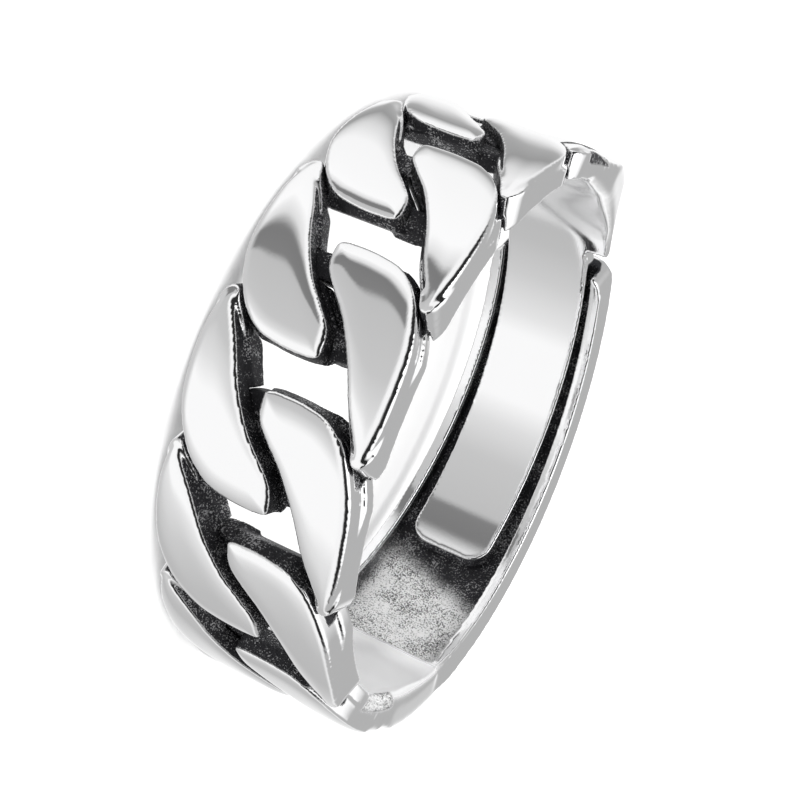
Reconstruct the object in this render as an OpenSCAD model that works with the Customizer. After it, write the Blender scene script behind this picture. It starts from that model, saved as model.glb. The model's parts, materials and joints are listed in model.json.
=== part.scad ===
// Open finger ring: a curb chain front between two smooth shank ends.
// The ring lies on its side. +Z is the finger axis, and the origin is the middle of the
// finger hole, on the surface the ring rests on. +X points at the middle of the chain.
// One shank end is a thin tongue that slides inside the other, a shallow channel.

/* [Finger hole] */
// Inside diameter of the ring
inner_d = 18.0; // [15:0.5:22]

/* [Chain] */
// Width of the chain along the finger
chain_w = 6.3; // [5:0.1:8]
// Height of the chain over the finger hole, at its middle
chain_t = 1.5; // [1.4:0.05:1.8]
// Height of the chain over the finger hole where it is turned halfway to the back
chain_end_t = 1.2; // [1.15:0.05:1.4]
// How far the chain's top leans over towards the channel
chain_lean = 0.15; // [0:0.05:0.25]
// Distance from link to link along the chain's top
link_spacing = 4.8; // [4.6:0.05:5]
// Angle that the row of links is turned by, towards the channel
chain_turn = 1.7; // [0:0.1:3]
// Height of the low half of a link, which passes under its neighbour
step_h = 0.5; // [0.4:0.05:0.55]
// Width of the low bar at each end of a link
bar_w = 0.85; // [0.6:0.05:0.95]
// How far a link's foot stands out past its top edge
foot_ledge = 0.12; // [0:0.02:0.15]
// Height over the finger hole below which the head of a lobe is cut back
undercut_h = 0.7; // [0.5:0.05:0.8]
// How far a lobe's head is cut back at the finger hole
undercut_w = 0.6; // [0:0.05:0.7]
// How much lower the rim of a lobe or shoulder is than its highest line
crown = 0.3; // [0:0.05:0.35]
// Clearance between linked pieces
gap = 0.12; // [0.1:0.01:0.15]

/* [Shank] */
// Width of the channel where it leaves its shoulder
shoulder_w = 5.6; // [5.2:0.1:6]
// Width of the channel at its open end
channel_end_w = 4.4; // [4.2:0.1:5]
// Thickness of the channel with its walls
channel_t = 1.2; // [1.15:0.05:1.4]
// Thickness of the channel's floor
floor_t = 0.45; // [0.4:0.05:0.5]
// Thickness of each side wall of the channel
wall_t = 0.45; // [0.4:0.05:0.6]
// Height of each shoulder's highest line over the finger hole
shoulder_t = 1.35; // [1.3:0.05:1.5]
// Height of the shoulder over the finger hole where it rises from the chain
shoulder_start_t = 0.8; // [0.8:0.05:1.2]
// Angle from the middle of the chain to the highest line of each shoulder
shoulder_angle = 98; // [96:1:102]
// Angle that each shoulder covers before its highest line
shoulder_span = 17; // [14:1:18]
// Angle from there to where the shoulder has thinned to the channel
shoulder_fall = 18; // [14:1:19]
// Angle from the middle of the chain to the open end of the channel
channel_end_angle = 131; // [124:1:140]
// Angle from the middle of the chain, the other way, to the start of the channel's recess
recess_angle = 118; // [117:1:122]

/* [Tongue] */
// Width of the tongue
tongue_w = 3.2; // [2.6:0.05:3.3]
// Width of the shoulder where it has thinned to the tongue
tongue_root_w = 4.6; // [4.4:0.1:5]
// Thickness of the tongue
tongue_t = 0.65; // [0.5:0.05:0.7]
// Angle that the tongue covers past the back of the ring
tongue_reach = 30; // [10:1:40]
// Angle from the middle of the chain to where the shoulder has thinned to the tongue
slope_end_angle = 124; // [118:1:128]
// Radius of the corners at the ends of tongue and channel
end_round = 0.8; // [0.4:0.1:1]

/* [Hidden] */
$fn = 96;

LINKS = 5;
bore_r = inner_d / 2;
top_r = bore_r + chain_t;
channel_r = bore_r + channel_t;
// How far cutting shapes reach past what they cut
over = 1;
// The chain's top is a circle set off towards the middle of the chain and a little to one
// side, so it thins out towards both ends
top_shift = chain_t - chain_end_t;
band_r = top_r - top_shift;
pitch_deg = link_spacing / (2 * PI * top_r) * 360;
half_w = chain_w / 2;
// The shoulder starts at block_angle, and is as wide as the chain up to square_angle
block_angle = shoulder_angle - shoulder_span;
square_angle = shoulder_angle - 0.4 * shoulder_span;
shoulder_end_angle = shoulder_angle + shoulder_fall;
channel_end = 360 - channel_end_angle;
tongue_end = 180 + tongue_reach;
// Tongue and channel start inside their shoulders, and reach this far past their ends
// before the ends are cut
strip_start = shoulder_angle + shoulder_fall / 4;
spare_angle = 4;
shoulder_r = bore_r + shoulder_t;

// The slits are the S-shaped gaps where two links cross. Slit k lies at slit_angle(k),
// and link m reaches from slit m - 1 to slit m.
function slit_angle(k) = (k - LINKS / 2) * pitch_deg;

// Outline of the right-hand lobe beside a slit, seen from outside the ring.
// along: from the slit's middle towards higher angles, as a share of link_spacing.
// across: from the ring's middle plane, as a share of half the chain's width.
LOBE = [
    // [along, across]
    [-0.35, -0.15],
    [-0.365, 0.06],
    [-0.355, 0.28],
    [-0.32, 0.49],
    [-0.22, 0.69],
    [-0.085, 0.83],
    [0.11, 0.94],
    [0.34, 0.98],
    [0.58, 0.975],
    [0.75, 0.92],
    [0.79, 0.84],
    [0.70, 0.77],
    [0.51, 0.59],
    [0.30, 0.43],
    [0.135, 0.27],
    [0.035, 0.15],
    [-0.07, -0.01],
    [-0.17, -0.14],
    [-0.28, -0.18]
];

// Middle line of the low bar that carries the left-hand lobe's link under the right-hand
// lobe, with the same columns.
BAR = [
    // [along, across]
    [0.20, 0.06],
    [0.19, 0.38],
    [0.05, 0.64],
    [-0.17, 0.77],
    [-0.42, 0.80]
];

// Where a crowned top changes slope, as shares of half its width
CROWN_STATIONS = [-1, -0.75, -0.45, -0.15, 0.15, 0.45, 0.75, 1];

LOBE_STEPS = 3;
BAR_STEPS = 4;

function sized(table) = [for (row = table) [row[0] * link_spacing, row[1] * half_w]];

function unit(v) = v / norm(v);

// A point on the smooth curve from b to c, where a and d are the points before and after
function spline(a, b, c, d, t) =
    (2 * b + (c - a) * t + (2 * a - 5 * b + 4 * c - d) * t * t
    + (3 * b - 3 * c + d - a) * t * t * t) / 2;

function closed_curve(p, steps) = let (n = len(p)) [
    for (i = [0 : n - 1], s = [0 : steps - 1])
        spline(p[(i + n - 1) % n], p[i], p[(i + 1) % n], p[(i + 2) % n], s / steps)
];

function open_curve(p, steps) = let (n = len(p)) [
    for (i = [0 : n - 2], s = [0 : (i == n - 2 ? steps : steps - 1)])
        spline(p[max(i - 1, 0)], p[i], p[i + 1], p[min(i + 2, n - 1)], s / steps)
];

// The outline moved outwards by d. The points run clockwise, so outwards is to the left.
function grown(p, d) = let (n = len(p)) [
    for (i = [0 : n - 1])
        let (way = unit(p[(i + 1) % n] - p[(i + n - 1) % n]))
            p[i] + d * [-way[1], way[0]]
];

function side_line(p, d) = let (n = len(p)) [
    for (i = [0 : n - 1])
        let (way = unit(p[min(i + 1, n - 1)] - p[max(i - 1, 0)]))
            p[i] + d * [-way[1], way[0]]
];

function reversed(p) = [for (i = [len(p) - 1 : -1 : 0]) p[i]];

lobe_line = closed_curve(sized(LOBE), LOBE_STEPS);
bar_line = open_curve(sized(BAR), BAR_STEPS);

module lobe_outline(grow = 0) {
    polygon(grown(lobe_line, grow));
}

module bar_outline(grow = 0) {
    half = bar_w / 2 + grow;
    polygon(concat(side_line(bar_line, half), reversed(side_line(bar_line, -half))));
}

// Extrudes a flat outline outwards through the ring at slit k, between two heights over
// the finger hole. The left-hand pieces are the right-hand ones turned half round.
module at_slit(k, low, high, left = false) {
    rotate([0, 0, slit_angle(k)])
        rotate([90, 0, 90])
            translate([0, 0, bore_r + low])
                linear_extrude(height = high - low)
                    rotate([0, 0, left ? 180 : 0])
                        children();
}

// What lies between the planes of the ring's two sides
module between_sides() {
    intersection() {
        cube([4 * top_r, 4 * top_r, chain_w], center = true);
        children();
    }
}

// A round with a crowned side, without the finger hole. Its side is made of equal humps,
// which together are as wide as the chain, and it stands out past them at both ends.
module crowned_round(radius, humps) {
    hump_w = chain_w / humps;
    rotate_extrude($fn = 180)
        polygon(concat(
            [
                [radius - crown, half_w + over],
                [0, half_w + over],
                [0, -half_w - over],
                [radius - crown, -half_w - over]
            ],
            [
                for (hump = [0 : humps - 1], z = CROWN_STATIONS)
                    [radius - crown * z * z, (hump + (z + 1) / 2) * hump_w - half_w]
            ]
        ));
}

// The round that the two rows of lobes fill. It leans to the side given by side: 1 for the
// chain as it stands, and -1 for the tongue's end, which is built upside down.
module lobe_round(side) {
    translate([top_shift, side * chain_lean, 0])
        crowned_round(band_r, 2);
}

module finger_hole() {
    cylinder(r = bore_r, h = 2 * chain_w, center = true, $fn = 180);
}

// The slanted cut under the head of the lobe at slit k
module head_undercut(k, left) {
    lean = undercut_w / undercut_h;
    head = LOBE[1][0] * link_spacing - foot_ledge;
    rotate([0, 0, slit_angle(k)])
        rotate([left ? 180 : 0, 0, 0])
            linear_extrude(height = 2 * chain_w, center = true)
                polygon([
                    [bore_r - 2 * over, head + undercut_w + 2 * over * lean],
                    [bore_r + undercut_h + over, head - over * lean],
                    [bore_r - 2 * over, head - over * lean]
                ]);
}

// The lobe of link m at slit k: a wider foot below and the polished top above
module lobe(k, left) {
    difference() {
        union() {
            at_slit(k, -over, step_h, left) lobe_outline(foot_ledge);
            at_slit(k, -over, chain_t + over, left) lobe_outline();
        }
        head_undercut(k, left);
    }
}

// The room that a neighbour's lobe needs, clear of it on all sides
module lobe_room(k, left) {
    at_slit(k, -2 * over, step_h + gap, left) lobe_outline(foot_ledge + gap);
    at_slit(k, -2 * over, chain_t + 2 * over, left) lobe_outline(gap);
}

module bar(k, left) {
    at_slit(k, -over, step_h, left) bar_outline();
}

module bar_room(k, left) {
    at_slit(k, -2 * over, step_h + gap, left) bar_outline(gap);
}

// Link m before it is trimmed to the ring. Its left lobe lies at slit m and its right lobe
// at slit m - 1.
module link_body(m) {
    difference() {
        union() {
            lobe(m, true);
            lobe(m - 1, false);
        }
        lobe_room(m, false);
        lobe_room(m - 1, true);
        bar_room(m, true);
        bar_room(m - 1, false);
    }
    bar(m, false);
    bar(m - 1, true);
}

module chain_link(m) {
    color("silver")
        difference() {
            between_sides()
                intersection() {
                    lobe_round(1);
                    rotate([0, 0, chain_turn])
                        link_body(m);
                }
            finger_hole();
        }
}

// A stretch of tube round the finger hole between two angles
module sector(inner_r, outer_r, from, to) {
    rotate([0, 0, from])
        rotate_extrude(angle = to - from)
            translate([inner_r, -half_w - over])
                square([outer_r - inner_r, chain_w + 2 * over]);
}

// A slab with two slanted sides, cut along the chord between two angles of the shank. It is
// from_w wide at the first angle and to_w wide at the second.
module taper(radius, from, from_w, to, to_w) {
    chord = 2 * radius * sin((to - from) / 2);
    turn = (from + to) / 2 + 90;
    start = -chord / 2;
    beyond = 2 * radius;
    slope = (to_w - from_w) / 2 / chord;
    rotate([0, 0, turn])
        rotate([90, 0, 0])
            linear_extrude(height = 4 * radius, center = true)
                polygon([
                    for (end = [[-1, 1], [1, 1], [1, -1], [-1, -1]])
                        let (x = start + chord / 2 + end[0] * beyond)
                            [x, end[1] * (from_w / 2 + slope * (x - start))]
                ]);
}

// The shoulder seen along the finger: one straight slope up to its highest line, then one
// down to radius end_r at end_angle
module shoulder_outline(end_r, end_angle) {
    function at(r, angle) = r * [cos(angle), sin(angle)];
    polygon([
        [0, 0],
        at(bore_r + shoulder_start_t, block_angle),
        at(shoulder_r, shoulder_angle),
        at(end_r, end_angle)
    ]);
}

// The shoulder is as wide as the chain up to square_angle, and end_w wide at its end
module shoulder(end_r, end_angle, end_w) {
    intersection() {
        crowned_round(shoulder_r, 1);
        sector(bore_r - over, top_r, block_angle, end_angle);
        linear_extrude(height = 2 * chain_w, center = true)
            shoulder_outline(end_r, end_angle);
        taper(top_r, square_angle, chain_w, end_angle, end_w);
    }
}

// The floor of the dark recess between the last link and the shoulder
module dark_floor(turn) {
    intersection() {
        sector(bore_r - over, bore_r + step_h,
            slit_angle(LINKS + 1 / 6) + turn, block_angle + over);
        cube([4 * top_r, 4 * top_r, 0.75 * chain_w], center = true);
    }
}

// The lobe that would follow the last link, as far as the shoulder's full width reaches
module last_lobe(side) {
    difference() {
        intersection() {
            lobe_round(side);
            rotate([0, 0, side * chain_turn])
                lobe(LINKS + 1, true);
        }
        sector(bore_r - 2 * over, top_r + 2 * over, square_angle, 180);
    }
}

// The end of the chain that is one piece with a shank end: the right lobe of the last
// slit, the left lobe that would follow, the floor between them and the shoulder
module end_link(end_r, end_angle, end_w, side) {
    turn = side * chain_turn;
    difference() {
        union() {
            intersection() {
                lobe_round(side);
                rotate([0, 0, turn])
                    lobe(LINKS, false);
            }
            last_lobe(side);
            dark_floor(turn);
            shoulder(end_r, end_angle, end_w);
        }
        rotate([0, 0, turn]) {
            lobe_room(LINKS, true);
            bar_room(LINKS, false);
        }
    }
    rotate([0, 0, turn])
        bar(LINKS, true);
}

// What is cut from a strip past an angle, so that it ends there with two round corners
module end_cut(angle, width, radius) {
    corner = [
        for (turn = [0 : 15 : 90])
            [radius * (sin(turn) - 1), width / 2 + radius * (cos(turn) - 1)]
    ];
    side = concat([[over, width / 2 + over], [-radius, width / 2 + over]], corner);
    rotate([0, 0, angle])
        rotate([90, 0, 90])
            linear_extrude(height = 2 * top_r)
                polygon(concat(side, [for (p = reversed(side)) [p[0], -p[1]]]));
}

// The channel's taper, inset on both sides
module channel_side(inset = 0) {
    taper(channel_r, shoulder_end_angle, shoulder_w - 2 * inset,
        channel_end, channel_end_w - 2 * inset);
}

module channel_shank() {
    color("gainsboro")
        difference() {
            between_sides()
                union() {
                    end_link(channel_r, shoulder_end_angle, shoulder_w, 1);
                    intersection() {
                        sector(bore_r - over, channel_r, strip_start, channel_end + spare_angle);
                        channel_side();
                    }
                }
            finger_hole();
            intersection() {
                sector(bore_r - 2 * over, channel_r - floor_t, recess_angle, channel_end + 2 * spare_angle);
                channel_side(wall_t);
            }
            end_cut(channel_end, channel_end_w, end_round);
        }
}

module tongue_shank() {
    color("lightgray")
        rotate([180, 0, 0])
            difference() {
                between_sides()
                    union() {
                        end_link(bore_r + tongue_t / 2, slope_end_angle, tongue_root_w, -1);
                        intersection() {
                            sector(bore_r - over, bore_r + tongue_t, strip_start, tongue_end + spare_angle);
                            cube([4 * top_r, 4 * top_r, tongue_w], center = true);
                        }
                    }
                finger_hole();
                end_cut(tongue_end, tongue_w, end_round);
            }
}

// Stands the ring on its side, on the plane z = 0
module lying() {
    translate([0, 0, half_w])
        children();
}

lying() chain_link(1);  // link_1
lying() chain_link(2);  // link_2
lying() chain_link(3);  // link_3
lying() chain_link(4);  // link_4
lying() chain_link(5);  // link_5
lying() tongue_shank();
lying() channel_shank();
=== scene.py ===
"""Builds the looks of an open silver finger ring with a curb chain front.

The ring lies on its side on a pale floor. Each link and each shank end is modelled in
millimetres from the same sizes as the solid it stands for, gets soft polished edges, and is
then put in its place in metres.
"""

import json
import math

import bmesh
import bpy
import numpy as np
from bpy.props import FloatProperty, FloatVectorProperty, PointerProperty
from mathutils import Matrix, Vector

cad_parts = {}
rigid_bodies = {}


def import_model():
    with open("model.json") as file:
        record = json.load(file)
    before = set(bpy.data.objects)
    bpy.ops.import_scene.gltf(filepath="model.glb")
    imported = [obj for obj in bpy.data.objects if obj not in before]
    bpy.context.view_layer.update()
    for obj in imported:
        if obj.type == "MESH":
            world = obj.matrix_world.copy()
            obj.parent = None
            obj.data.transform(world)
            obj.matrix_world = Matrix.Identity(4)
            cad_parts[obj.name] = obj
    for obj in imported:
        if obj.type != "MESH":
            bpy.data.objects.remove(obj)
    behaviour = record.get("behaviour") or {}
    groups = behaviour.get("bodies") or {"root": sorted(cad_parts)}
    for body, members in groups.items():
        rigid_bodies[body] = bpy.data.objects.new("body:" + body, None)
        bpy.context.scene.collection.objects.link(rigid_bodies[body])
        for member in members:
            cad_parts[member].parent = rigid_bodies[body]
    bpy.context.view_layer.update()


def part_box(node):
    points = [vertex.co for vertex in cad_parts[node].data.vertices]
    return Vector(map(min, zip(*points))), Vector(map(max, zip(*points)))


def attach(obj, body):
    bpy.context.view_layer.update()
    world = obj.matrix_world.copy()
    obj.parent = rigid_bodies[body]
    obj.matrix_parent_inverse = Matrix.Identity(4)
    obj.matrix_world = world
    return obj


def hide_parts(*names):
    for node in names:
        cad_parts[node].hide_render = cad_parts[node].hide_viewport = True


bl_info = {
    "name": "Curb chain ring",
    "version": (1, 0, 0),
    "blender": (4, 5, 0),
    "location": "View3D > Sidebar > Ring",
    "description": "An open silver ring: curb links, a tongue and a channel",
    "category": "Add Mesh",
}

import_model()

MM = 0.001
LINKS = 5
FULL_TURN = 2 * math.pi

# The floor lies this much below the ring, in metres
FLOOR_GAP = 0.00001

# The chain is as wide as its solids are
CHAIN_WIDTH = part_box("link_3")[1].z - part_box("link_3")[0].z

# The most triangles of one link and of one shank end
LINK_TRIANGLES = 118000
SHANK_TRIANGLES = 188000

# Fine meshes are made at this slant to the ring
SLANT = Matrix.Rotation(0.5, 4, "X") @ Matrix.Rotation(0.4, 4, "Y")

# Rounds of softening: before the lobes' domes, after them at a mesh step of 1 mm, and on the
# shoulders. The marks of the finish are blurred too.
ROUNDS_BEFORE = 4
ROUNDS_AFTER = 0.03
ROUNDS_SHOULDER = 60
ROUNDS_MARKS = 4

# Outline of the right-hand lobe beside a slit, seen from outside the ring.
# along: from the slit's middle towards higher angles, as a share of the link spacing.
# across: from the ring's middle plane, as a share of half the chain's width.
LOBE = [
    (-0.35, -0.15),
    (-0.365, 0.06),
    (-0.355, 0.28),
    (-0.32, 0.49),
    (-0.22, 0.69),
    (-0.085, 0.83),
    (0.11, 0.94),
    (0.34, 0.98),
    (0.58, 0.975),
    (0.75, 0.92),
    (0.79, 0.84),
    (0.70, 0.77),
    (0.51, 0.59),
    (0.30, 0.43),
    (0.135, 0.27),
    (0.035, 0.15),
    (-0.07, -0.01),
    (-0.17, -0.14),
    (-0.28, -0.18),
]

# Middle line of the cast web that closes the bottom of a slit, with the same columns
WEB = [(-0.12, -0.18), (-0.06, -0.09), (0.0, 0.0), (0.06, 0.09), (0.12, 0.18)]

# The first link's web reaches this many times further
FIRST_WEB_REACH = 3.4

# Middle line of the low bar that runs under the right-hand lobe, with the same columns
BAR = [(0.20, 0.06), (0.19, 0.38), (0.05, 0.64), (-0.17, 0.77), (-0.42, 0.80)]

# Points from one row of these tables to the next
CURVE_STEPS = 8


def length(name, description, millimetres):
    return FloatProperty(
        name=name,
        description=description,
        default=millimetres * MM,
        min=0.0,
        subtype="DISTANCE",
        unit="LENGTH",
        precision=5,
    )


def angle(name, description, degrees):
    return FloatProperty(
        name=name,
        description=description,
        default=math.radians(degrees),
        subtype="ANGLE",
        unit="ROTATION",
    )


def share(name, description, default):
    return FloatProperty(
        name=name,
        description=description,
        default=default,
        min=0.0,
        max=1.0,
        subtype="FACTOR",
    )


def colour(name, description, default):
    return FloatVectorProperty(
        name=name,
        description=description,
        default=default,
        min=0.0,
        max=1.0,
        size=3,
        subtype="COLOR",
    )


class ChainRingSizes(bpy.types.PropertyGroup):
    """Sizes of the ring, the same as those of its solids"""

    inner_d: length("Inside diameter", "Diameter of the finger hole", 18.0)
    chain_w: FloatProperty(
        name="Chain width",
        description="Width of the chain along the finger",
        default=CHAIN_WIDTH,
        subtype="DISTANCE",
        unit="LENGTH",
        precision=5,
    )
    chain_t: length("Chain height", "Height of the chain over the finger hole", 1.5)
    chain_end_t: length("Chain end height", "Height of the chain halfway to the back", 1.2)
    chain_lean: length("Chain lean", "How far the chain's top leans to the channel", 0.15)
    link_spacing: length("Link spacing", "Distance from link to link on top", 4.8)
    chain_turn: angle("Chain turn", "Turn of the row of links to the channel", 1.7)
    step_h: length("Bar height", "Height of a link's low bars", 0.5)
    bar_w: length("Bar width", "Width of a link's low bars", 0.85)
    web_w: length("Web width", "Width of the cast web at the bottom of a slit", 0.7)
    web_h: length("Web height", "Height of the cast web over the finger hole", 0.3)
    foot_ledge: length("Foot ledge", "How far a link's foot stands out", 0.12)
    undercut_h: length("Undercut height", "Height below which a head is cut back", 0.7)
    undercut_w: length("Undercut depth", "How far a head is cut back at the bore", 0.6)
    crown: length("Crown", "How much a rim is lower than the top", 0.3)
    pillow: length("Pillow", "Height of the soft dome on each lobe", 0.12)
    pillow_w: length("Pillow width", "How far in from its rim a lobe's dome rises", 0.8)
    gap: length("Clearance", "Clearance between linked pieces", 0.04)
    shoulder_t: length("Shoulder height", "Height of the shoulder's highest line", 1.35)
    shoulder_start_t: length("Shoulder start", "Height where the shoulder rises", 0.8)
    shoulder_angle: angle("Shoulder angle", "Place of the shoulder's highest line", 98)
    shoulder_span: angle("Shoulder span", "Angle covered before the highest line", 17)
    shoulder_fall: angle("Shoulder fall", "Angle of the slope down to the channel", 18)
    shoulder_w: length("Shoulder width", "Width of the channel at its shoulder", 5.6)
    inner_swell: length("Inner swell", "How much thicker the shoulder is inside", 0.35)
    inner_round: length("Inner edge round", "Radius of the finger hole's edges there", 0.4)
    crest_round: length("Crest round", "How far the shoulder's highest line is rounded", 0.9)
    channel_end_w: length("Channel end width", "Width of the channel's open end", 4.4)
    channel_t: length("Channel thickness", "Thickness of the channel and walls", 1.2)
    floor_t: length("Channel floor", "Thickness of the channel's floor", 0.45)
    wall_t: length("Channel wall", "Thickness of the channel's walls", 0.45)
    channel_end_angle: angle("Channel end", "Place of the channel's open end", 131)
    recess_angle: angle("Recess start", "Place where the channel's recess starts", 118)
    tongue_w: length("Tongue width", "Width of the tongue", 3.2)
    tongue_root_w: length("Tongue root width", "Width where the slope ends", 4.6)
    tongue_t: length("Tongue thickness", "Thickness of the tongue", 0.65)
    tongue_reach: angle("Tongue reach", "Angle covered past the back", 30)
    slope_end_angle: angle("Slope end", "Place where the shoulder has thinned", 124)
    end_round: length("End corners", "Radius of the corners at both ends", 0.8)
    link_grain: length("Link mesh step", "Step of the mesh on the links", 0.045)
    shank_grain: length("Shank mesh step", "Step of the mesh on the shank ends", 0.06)


class ChainRingFinish(bpy.types.PropertyGroup):
    """Colours and finish of the silver"""

    silver: colour("Silver", "Colour of the polished silver", (0.97, 0.97, 0.975))
    # The dark colour is the oxide in the recesses, and also the tongue's shadow painted on the
    # channel's floor
    oxide_and_shadow: colour("Oxide", "Colour of the dark recesses", (0.06, 0.06, 0.065))
    # The bright grains in the recesses are painted glints
    grain_glint: colour("Glints", "Colour of the bright grains in the recesses", (0.6, 0.6, 0.61))
    matt: colour("Matt silver", "Colour of the blasted channel", (0.95, 0.95, 0.95))
    polish: share("Polish roughness", "Roughness of the polished silver", 0.06)
    satin: share("Satin roughness", "Roughness of the inner side of the shoulders", 0.3)
    blast: share("Recess roughness", "Roughness of the dark and blasted silver", 0.48)
    grain: length("Grain size", "Size of one grain in the recesses", 0.055)


class ChainRingStage(bpy.types.PropertyGroup):
    """Camera, floor and light"""

    distance: length("Camera distance", "From the ring's middle to the camera", 52.85)
    offset_right: length("Offset right", "How far right the ring stands", 0.68)
    offset_up: FloatProperty(
        name="Offset up",
        description="How far up the ring stands",
        default=-0.39 * MM,
        subtype="DISTANCE",
        unit="LENGTH",
        precision=5,
    )
    elevation: angle("Camera elevation", "Angle over the plane of the ring", 21.69)
    azimuth: angle("Camera azimuth", "Angle from the middle of the chain", -0.59)
    roll: angle("Camera roll", "Turn of the picture", 112.84)
    lens: FloatProperty(name="Lens", description="Focal length", default=72.0, unit="CAMERA")
    floor_size: FloatProperty(
        name="Floor size", description="Width of the floor", default=3.0, unit="LENGTH"
    )
    floor_colour: colour("Floor colour", "Colour of the floor", (0.93, 0.93, 0.93))


class RingPlan:
    """The sizes in millimetres and degrees, with the values that follow from them"""

    def __init__(self, sizes):
        for key, prop in sizes.bl_rna.properties.items():
            if key in ("rna_type", "name"):
                continue
            value = getattr(sizes, key)
            turned = prop.unit == "ROTATION"
            setattr(self, key, math.degrees(value) if turned else value / MM)
        self.bore_r = self.inner_d / 2
        self.half_w = self.chain_w / 2
        self.top_r = self.bore_r + self.chain_t
        self.top_shift = self.chain_t - self.chain_end_t
        self.band_r = self.top_r - self.top_shift
        self.rim_r = self.band_r - self.crown
        self.channel_r = self.bore_r + self.channel_t
        self.shoulder_r = self.bore_r + self.shoulder_t
        self.pitch = math.degrees(self.link_spacing / self.top_r)
        self.last_lobe = (LINKS / 2 + 0.25) * self.pitch

        # Angles where a shoulder starts, starts to narrow and ends, and where its strip starts
        self.block_angle = self.shoulder_angle - self.shoulder_span
        self.square_angle = self.shoulder_angle - 0.4 * self.shoulder_span
        self.shoulder_end = self.shoulder_angle + self.shoulder_fall
        self.strip_start = self.shoulder_angle + self.shoulder_fall / 4

        # Ends of the two strips, each as its own piece is built, and of the tongue's shadow that
        # is painted on the channel's floor
        self.channel_end = 360 - self.channel_end_angle
        self.tongue_end = 180 + self.tongue_reach
        self.painted_shadow_end = 360 - self.tongue_end - 5

        # Half the width of the low floor between the last lobe and the shoulder
        self.floor_half = 0.375 * self.chain_w

        # How far a working form reaches past what it cuts or joins
        self.over = 1.0
        self.spare_angle = 4.0

    def slit_angle(self, k):
        return (k - LINKS / 2) * self.pitch


def spline_point(a, b, c, d, t):
    """A point on the smooth curve from b to c, where a and d lie before and after them"""
    point = []
    for p, q, r, s in zip(a, b, c, d):
        square = 2 * p - 5 * q + 4 * r - s
        cube = 3 * q - 3 * r + s - p
        point.append((2 * q + (r - p) * t + square * t**2 + cube * t**3) / 2)
    return point


def closed_curve(points, steps):
    n = len(points)
    line = []
    for i in range(n):
        four = [points[(i + k) % n] for k in (-1, 0, 1, 2)]
        line += [spline_point(*four, s / steps) for s in range(steps)]
    return np.array(line)


def open_curve(points, steps):
    last = len(points) - 1
    line = []
    for i in range(last):
        four = [points[min(max(i + k, 0), last)] for k in (-1, 0, 1, 2)]
        line += [spline_point(*four, s / steps) for s in range(steps)]
    return np.array(line + [list(points[-1])])


def left_of(line, closed):
    """Unit vectors to the left of each point's way along the line"""
    if closed:
        way = np.roll(line, -1, 0) - np.roll(line, 1, 0)
    else:
        way = np.gradient(line, axis=0)
    way /= np.linalg.norm(way, axis=1)[:, None]
    return np.stack([-way[:, 1], way[:, 0]], 1)


def sized(table, plan):
    return [(a * plan.link_spacing, b * plan.half_w) for a, b in table]


def lobe_outline(plan, grow=0.0):
    line = closed_curve(sized(LOBE, plan), CURVE_STEPS)
    return line + grow * left_of(line, True)


def band_outline(table, width, plan):
    line = open_curve(sized(table, plan), CURVE_STEPS)
    side = width / 2 * left_of(line, False)
    return np.concatenate([line + side, (line - side)[::-1]])


def foot_outline(plan, grow):
    """The lobe's outline grown, but flush with its top on the side of the chain"""
    line = lobe_outline(plan, grow)
    line[:, 1] = np.minimum(line[:, 1], lobe_outline(plan)[:, 1].max())
    return line


def shown(name, data):
    """A new object in the scene"""
    obj = bpy.data.objects.new(name, data)
    bpy.context.scene.collection.objects.link(obj)
    return obj


def scratch(bm, name):
    """A working object of a closed bmesh"""
    bmesh.ops.recalc_face_normals(bm, faces=bm.faces)
    mesh = bpy.data.meshes.new(name)
    bm.to_mesh(mesh)
    bm.free()
    return shown(name, mesh)


def prism(name, outline, low, high, place=None):
    """A flat outline extruded from low to high, and then put in its place"""
    bm = bmesh.new()
    face = bm.faces.new([bm.verts.new((x, y, low)) for x, y in outline])
    grown = bmesh.ops.extrude_face_region(bm, geom=[face])["geom"]
    top = [v for v in grown if isinstance(v, bmesh.types.BMVert)]
    bmesh.ops.translate(bm, vec=(0, 0, high - low), verts=top)
    bmesh.ops.transform(bm, matrix=place or Matrix(), verts=bm.verts)
    return scratch(bm, name)


def turned(degrees):
    return Matrix.Rotation(math.radians(degrees), 4, "Z")


def outward(degrees, left=False):
    """Turns a flat outline, so that it is extruded outwards from the ring at an angle. The
    left-hand pieces are the right-hand ones turned half round."""
    local = Matrix(((0, 0, 1, 0), (1, 0, 0, 0), (0, 1, 0, 0), (0, 0, 0, 1)))
    half_turn = Matrix.Rotation(math.pi if left else 0, 4, "Z")
    return turned(degrees) @ local @ half_turn


def cylinder(name, radius, height, centre=(0, 0)):
    bm = bmesh.new()
    bmesh.ops.create_cone(
        bm, cap_ends=True, segments=720, radius1=radius, radius2=radius, depth=height
    )
    bmesh.ops.translate(bm, vec=(centre[0], centre[1], 0), verts=bm.verts)
    return scratch(bm, name)


def crowned_round(name, radius, crown, half_w, over):
    """A round whose side is highest along its middle"""
    stations = np.linspace(-half_w - over, half_w + over, 40)
    bm = bmesh.new()
    line = [bm.verts.new((0, 0, stations[0]))]
    line += [bm.verts.new((radius - crown * min((z / half_w) ** 2, 1.2), 0, z)) for z in stations]
    line.append(bm.verts.new((0, 0, stations[-1])))
    edges = [bm.edges.new(pair) for pair in zip(line, line[1:])]
    bmesh.ops.spin(
        bm,
        geom=line + edges,
        cent=(0, 0, 0),
        axis=(0, 0, 1),
        angle=FULL_TURN,
        steps=480,
        use_merge=True,
    )
    bmesh.ops.remove_doubles(bm, verts=bm.verts, dist=1e-4)
    return scratch(bm, name)


def arc(radius, start, end, step=0.5):
    count = max(2, int(abs(end - start) / step) + 1)
    turns = np.radians(np.linspace(start, end, count))
    return np.stack([radius * np.cos(turns), radius * np.sin(turns)], 1)


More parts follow.
